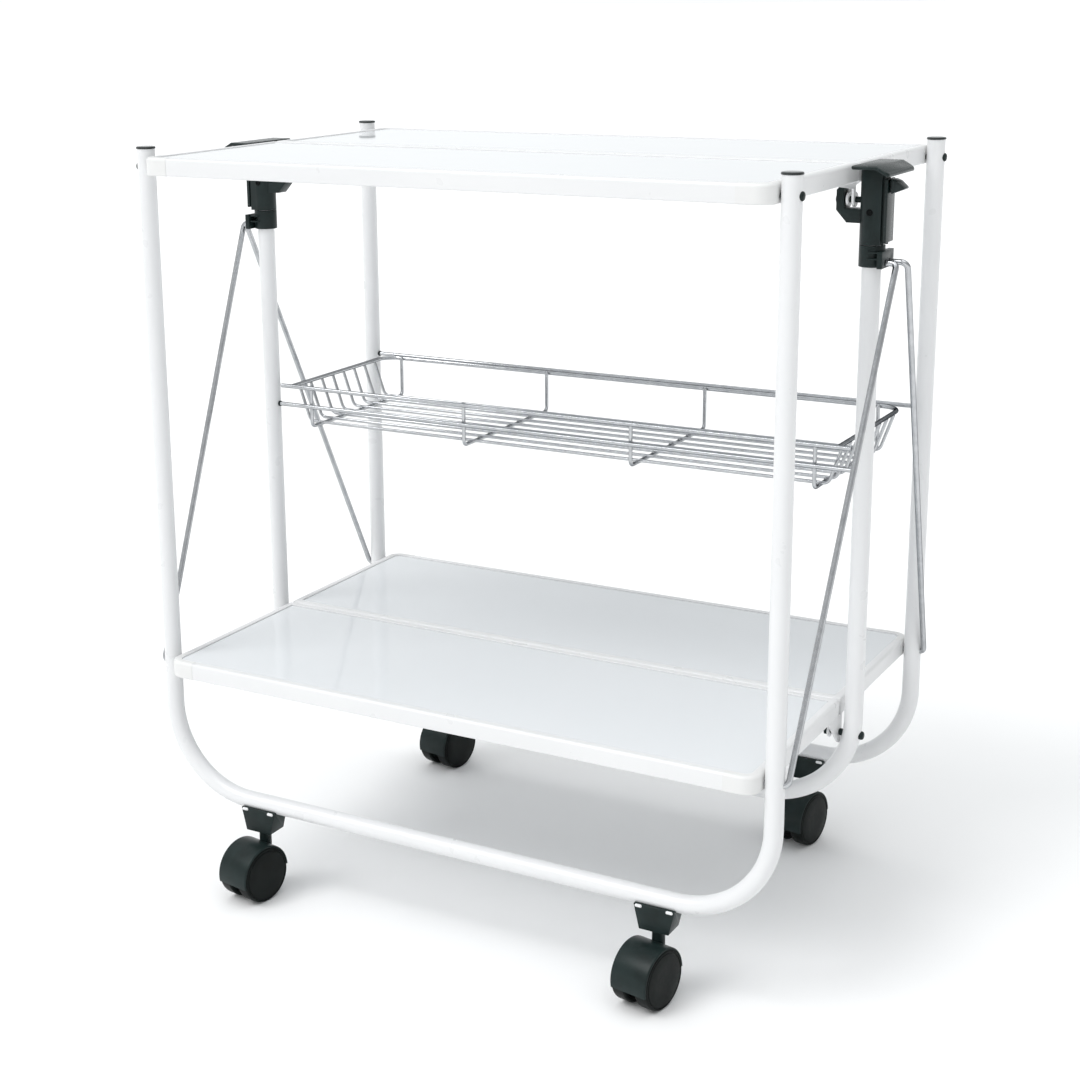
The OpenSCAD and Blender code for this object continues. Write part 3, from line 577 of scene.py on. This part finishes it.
def basket():
    """Rim with its pivot wires, long wires, cross wires with weld beads, and sleeves at the posts."""
    lo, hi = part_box("basket_rim")
    long_lo, long_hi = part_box("basket_bottom_wires")
    cross_lo, cross_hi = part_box("basket_cross_wires")
    front_y, rear_y = lo.y + RIM_WIRE_R, hi.y - RIM_WIRE_R
    front_z, rear_z = lo.z + RIM_WIRE_R, hi.z - RIM_WIRE_R
    rim_x, rim_y = long_hi.x - LONG_WIRE_R + 0.6 * MM, cross_hi.y + 1.7 * MM
    rim_z = rear_z - 2 * MM
    front_wire_x = 292.5 * MM
    shape = Shape()
    shape.sweep(rounded([(-rim_x, front_y, rim_z), (-rim_x, rim_y, rim_z), (rim_x, rim_y, rim_z),
                         (rim_x, front_y, rim_z)], 18 * MM, 10), RIM_WIRE_R, 20)
    pin(shape, (-front_wire_x, front_y, rim_z), (front_wire_x, front_y, rim_z), RIM_WIRE_R, 20)
    pin(shape, (lo.x, front_y, front_z), (hi.x, front_y, front_z), RIM_WIRE_R, 20)
    pin(shape, (lo.x, rear_y, rear_z), (hi.x, rear_y, rear_z), RIM_WIRE_R, 20)
    finish_piece(shape.build("basket_frame_wires"), "basket", CHROME, "basket_rim")

    first, last = long_lo.y + LONG_WIRE_R, long_hi.y - LONG_WIRE_R
    rows = [first + (last - first) * k / (LONG_WIRES - 1) for k in range(LONG_WIRES)]
    low_x, low_z = rim_x - 12 * MM, long_lo.z + LONG_WIRE_R
    end_z = rim_z - RIM_WIRE_R
    shape = Shape()
    for y in rows:
        shape.sweep(rounded([(-rim_x, y, end_z), (-low_x, y, low_z), (low_x, y, low_z), (rim_x, y, end_z)],
                            7 * MM, 8), LONG_WIRE_R, 16)
    finish_piece(shape.build("basket_long_wires"), "basket", CHROME, "basket_bottom_wires")

    outer_x = cross_hi.x - CROSS_WIRE_R
    near_y, far_y = cross_lo.y + CROSS_WIRE_R, cross_hi.y - CROSS_WIRE_R
    cross_z = cross_lo.z + CROSS_WIRE_R
    near_top, far_top = rim_z + 1 * MM, rear_z - 1 * MM
    bead_r, rim_bead_r = 1.9 * MM, 2.3 * MM
    shape = Shape()
    for k in CROSS_WIRES:
        x = outer_x * k / CROSS_WIRES[-1]
        shape.sweep(rounded([(x, near_y, near_top), (x, near_y, cross_z), (x, far_y, cross_z),
                             (x, far_y, far_top)], 5 * MM, 8), CROSS_WIRE_R, 16)
        for y in rows:
            shape.ball((x, y, (low_z + cross_z) / 2), bead_r, 0.7)
        for y, z in ((near_y, rim_z), (near_y, front_z), (far_y, rim_z)):
            shape.ball((x, y, z), rim_bead_r)
    finish_piece(shape.build("basket_cross_bars"), "basket", CHROME, "basket_cross_wires")

    shape = Shape()
    for x, y, z in ((CENTRE_X - TUBE_R, front_y, front_z), (POST_X - TUBE_R, rear_y, rear_z)):
        for side in SIDES.values():
            shape.lathe(in_metres(SLEEVE), (side * x, y, z), X_AXIS * side, 28)
    finish_piece(shape.build("basket_sleeves"), "basket", BLACK, "basket_end_bushes")


basket()


# ------------------------------------------------------------------ casters

# Section of one wheel, as (along the axle, radius) in mm: bore, inner side, tread, outer face.
WHEEL = [(15.7, 0.3), (15.7, 3.05), (5.2, 3.05), (5.2, 8), (7.5, 9), (7.5, 21.5), (5.2, 22.5), (5.2, 24.4),
         (5.5, 25.3), (6.4, 26), (16.1, 26), (17.2, 25.7), (17.9, 25.1), (18.2, 24.3), (18.1, 23.9),
         (17.5, 23.6), (17.5, 23.1), (18.1, 22.8), (18.3, 22.2), (18.3, 12), (18.2, 5), (18.15, 0.3)]
# Section of the hood, in the same terms: a shell over both wheels and a web between them.
HOOD = ([(-17.7, 26.7)] + arc(-16.2, 26.3, 1.5, 180, 90, 5) + arc(16.2, 26.3, 1.5, 90, 0, 5)
        + [(17.7, 26.7), (17.4, 26.6), (4.9, 26.6), (4.6, 26.2), (4.6, 7.5)]
        + [(-4.6, 7.5), (-4.6, 26.2), (-4.9, 26.6), (-17.4, 26.6)])
HOOD_START, HOOD_END, HOOD_STEPS = 4, 192, 40
WEB_HALF, WEB_EYE_R = 4.6 * MM, 8 * MM
NECK_R, STEM_R, AXLE_R = 5.6 * MM, 4 * MM, 3 * MM
AXLE_HALF = 15.3 * MM


def caster_hood(stem, axle, along, neck_top):
    """The hood round the wheels, and a neck that rises from it round the stem."""
    ahead = Vector((stem.x - axle.x, stem.y - axle.y, 0)).normalized()
    rings = []
    for k in range(HOOD_STEPS + 1):
        t = math.radians(HOOD_START + (HOOD_END - HOOD_START) * k / HOOD_STEPS)
        out = ahead * math.cos(t) + Z_AXIS * math.sin(t)
        rings.append([axle + along * x * MM + out * r * MM for x, r in HOOD])
    shape = Shape().rings(rings)
    shape.lathe([(-WEB_HALF, WEB_EYE_R), (WEB_HALF, WEB_EYE_R)], axle, along, 40)
    foot = Vector((stem.x, stem.y, axle.z + 9 * MM))
    rise = neck_top - foot.z
    edge = 0.5 * MM
    neck = [(0, NECK_R - 0.4 * MM), (edge, NECK_R), (rise - edge, NECK_R), (rise, NECK_R - edge)]
    return shape.lathe(neck, foot, Z_AXIS, 40)


def caster(row, side):
    end = f"{row}_{side}"
    body = f"caster_{end}"
    stem = joint_at[f"caster_{end}_swivel"]
    axle = joint_at[f"wheels_{end}_spin"]
    along = joint_axis[f"wheels_{end}_spin"].normalized()
    socket_lo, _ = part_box(f"caster_socket_{end}")
    neck_top, stem_top = socket_lo.z - 2.2 * MM, socket_lo.z + 14 * MM

    shape = caster_hood(stem, axle, along, neck_top)
    finish_piece(shape.build(f"hood_{end}"), body, BLACK, f"caster_hood_{end}")

    shape = Shape()
    pin(shape, (stem.x, stem.y, neck_top - 6 * MM), (stem.x, stem.y, stem_top), STEM_R, 40)
    finish_piece(shape.build(f"stem_{end}"), body, STEEL, f"caster_stem_{end}")

    shape = Shape()
    pin(shape, axle - along * AXLE_HALF, axle + along * AXLE_HALF, AXLE_R)
    finish_piece(shape.build(f"axle_{end}"), body, STEEL, f"caster_axle_{end}")

    shape = Shape()
    for way in (-1, 1):
        shape.lathe(in_metres(WHEEL), axle, along * way, 72)
    finish_piece(shape.build(f"wheels_{end}"), f"wheels_{end}", WHEEL_BLACK, f"caster_wheels_{end}")

    node = f"caster_socket_{end}"
    finish_piece(rounded_copy(node, f"socket_{end}", 1.0 * MM), f"{row}_frame", BLACK, node)


def socket_lugs(row):
    """Small white lugs of the tube, bent over the top edge of each socket."""
    node = f"{row}_socket_lugs"
    lo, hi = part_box(node)
    half_z, deep = (hi.z - lo.z) / 2, hi.y - lo.y
    off_stem, half_flat, root = 14 * MM, 1.9 * MM, 0.3 * MM
    layers = ((0, 0), (deep * 0.6, 0), (deep * 0.9, 0.2 * MM), (deep + 0.29 * MM, 0.55 * MM))
    shape = Shape()
    for side in SIDES:
        stem = joint_at[f"caster_{row}_{side}_swivel"]
        for way in (-1, 1):
            at = Vector((stem.x + way * off_stem, hi.y + root, (lo.z + hi.z) / 2))
            rings = []
            for out, shrink in layers:
                r = half_z - shrink
                ring = arc(half_flat, 0, r, -90, 90, 8) + arc(-half_flat, 0, r, 90, 270, 8)
                rings.append([at + Vector((x, -out, z)) for x, z in ring])
            shape.rings(rings)
    finish_piece(shape.build(f"{row}_lugs"), f"{row}_frame", POWDER_WHITE, node)


for row in ROWS:
    socket_lugs(row)
    for side in SIDES:
        caster(row, side)


# ------------------------------------------------------------------ floor, light and camera

DOME_TINT = (0.985, 0.995, 1)
DOME_STRENGTH = 1.22
FLOOR_REACH = 300


def world_light():
    """A studio dome: bright low down, overhead and on the left, with a dimmer band between."""
    world = bpy.data.worlds.new("studio_world")
    bpy.context.scene.world = world
    world.use_nodes = True
    nodes, links = world.node_tree.nodes, world.node_tree.links
    place = nodes.new("ShaderNodeTexCoord")

    def along(direction):
        dot = nodes.new("ShaderNodeVectorMath")
        dot.operation = "DOT_PRODUCT"
        dot.inputs[1].default_value = direction
        links.new(place.outputs["Generated"], dot.inputs[0])
        return dot.outputs["Value"]

    def ramp(value, stops, low, high):
        spread = nodes.new("ShaderNodeMapRange")
        spread.inputs["From Min"].default_value = low
        spread.inputs["From Max"].default_value = high
        links.new(value, spread.inputs["Value"])
        made = nodes.new("ShaderNodeValToRGB")
        while len(made.color_ramp.elements) < len(stops):
            made.color_ramp.elements.new(0.5)
        for element, (at, level) in zip(made.color_ramp.elements, stops):
            element.position = at
            element.color = (*(level * tint for tint in DOME_TINT), 1)
        links.new(spread.outputs["Result"], made.inputs["Fac"])
        return made.outputs["Color"]

    by_height = [(0, 0.9), (0.08, 0.86), (0.3, 0.6), (0.62, 0.56), (0.8, 1.0), (1, 1.0)]
    by_side = [(0, 0.62), (0.5, 0.95), (1, 1.0)]
    height = ramp(along((0, 0, 1)), by_height, 0, 1)
    side = ramp(along((-0.87, -0.49, 0)), by_side, -1, 1)
    mixed = nodes.new("ShaderNodeMix")
    mixed.data_type = "RGBA"
    mixed.blend_type = "MULTIPLY"
    mixed.inputs["Factor"].default_value = 1
    links.new(height, mixed.inputs["A"])
    links.new(side, mixed.inputs["B"])
    background = nodes["Background"]
    links.new(mixed.outputs["Result"], background.inputs["Color"])
    background.inputs["Strength"].default_value = DOME_STRENGTH


def studio():
    """The floor, and two suns, each with the way it comes from, its strength and its spread in degrees."""
    world_light()
    corners = [(x * FLOOR_REACH, y * FLOOR_REACH, 0) for x, y in ((-1, -1), (1, -1), (1, 1), (-1, 1))]
    floor_mesh = bpy.data.meshes.new("studio_floor")
    floor_mesh.from_pydata(corners, [], [(0, 1, 2, 3)])
    floor = bpy.data.objects.new("studio_floor", floor_mesh)
    bpy.context.scene.collection.objects.link(floor)
    floor.data.materials.append(surface("pale_floor", (0.93, 0.93, 0.93), (0.92, 0.92, 0.92), 0.7, patch=2,
                                        grain=300, specular=0.2))
    suns = (("key", (-0.42, -0.62, 0.9), 1.2, 28), ("top", (0.1, -0.1, 1), 0.5, 60))
    for name, toward, strength, spread in suns:
        lamp = bpy.data.lights.new(name, "SUN")
        lamp.energy = strength
        lamp.angle = math.radians(spread)
        holder = bpy.data.objects.new(name, lamp)
        holder.rotation_euler = Vector(toward).to_track_quat("Z", "Y").to_euler()
        bpy.context.scene.collection.objects.link(holder)
    bpy.context.scene.view_settings.view_transform = "Standard"


def camera():
    """The photograph's view: place in metres, angles in degrees, the frame taken as 1080 by 1080."""
    place = Vector((0.7923, -1.4706, 0.8191))
    heading, down, roll = -29.71, 14.31, -0.61
    lens = bpy.data.cameras.new("camera")
    lens.sensor_width = 36
    lens.lens = 62.96
    lens.shift_x, lens.shift_y = 0.045, -0.0635
    lens.clip_start, lens.clip_end = 0.05, 100
    holder = bpy.data.objects.new("camera", lens)
    holder.rotation_mode = "QUATERNION"
    turn = (Matrix.Rotation(math.radians(-heading), 3, "Z")
            @ Matrix.Rotation(math.radians(90 - down), 3, "X")
            @ Matrix.Rotation(math.radians(roll), 3, "Z"))
    holder.rotation_quaternion = turn.to_quaternion()
    holder.location = place
    bpy.context.scene.collection.objects.link(holder)
    bpy.context.scene.camera = holder


studio()
camera()
